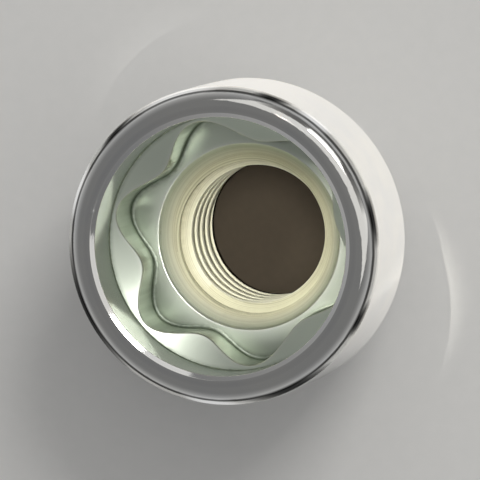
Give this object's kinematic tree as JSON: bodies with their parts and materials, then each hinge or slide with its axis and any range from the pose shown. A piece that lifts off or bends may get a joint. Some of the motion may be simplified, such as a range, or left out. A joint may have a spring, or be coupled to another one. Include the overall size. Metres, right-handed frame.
{
  "type": "locking wheel nut",
  "caption": "Round open-ended wheel nut with a cone seat, a through thread and a lobed key recess under a plain rim.",
  "frame": {"origin": "middle of the flat small end of the cone seat, on the thread's axis", "axes": "+Z along the thread's axis from the small end to the key end; X and Y across the nut"},
  "size_m": [0.024, 0.024, 0.0183],
  "materials": {
    "plated_steel": "bright nickel and chrome plating over turned and forged steel"
  },
  "bodies": {
    "root": {"locking_nut": "plated_steel"}
  },
  "joints": []
}
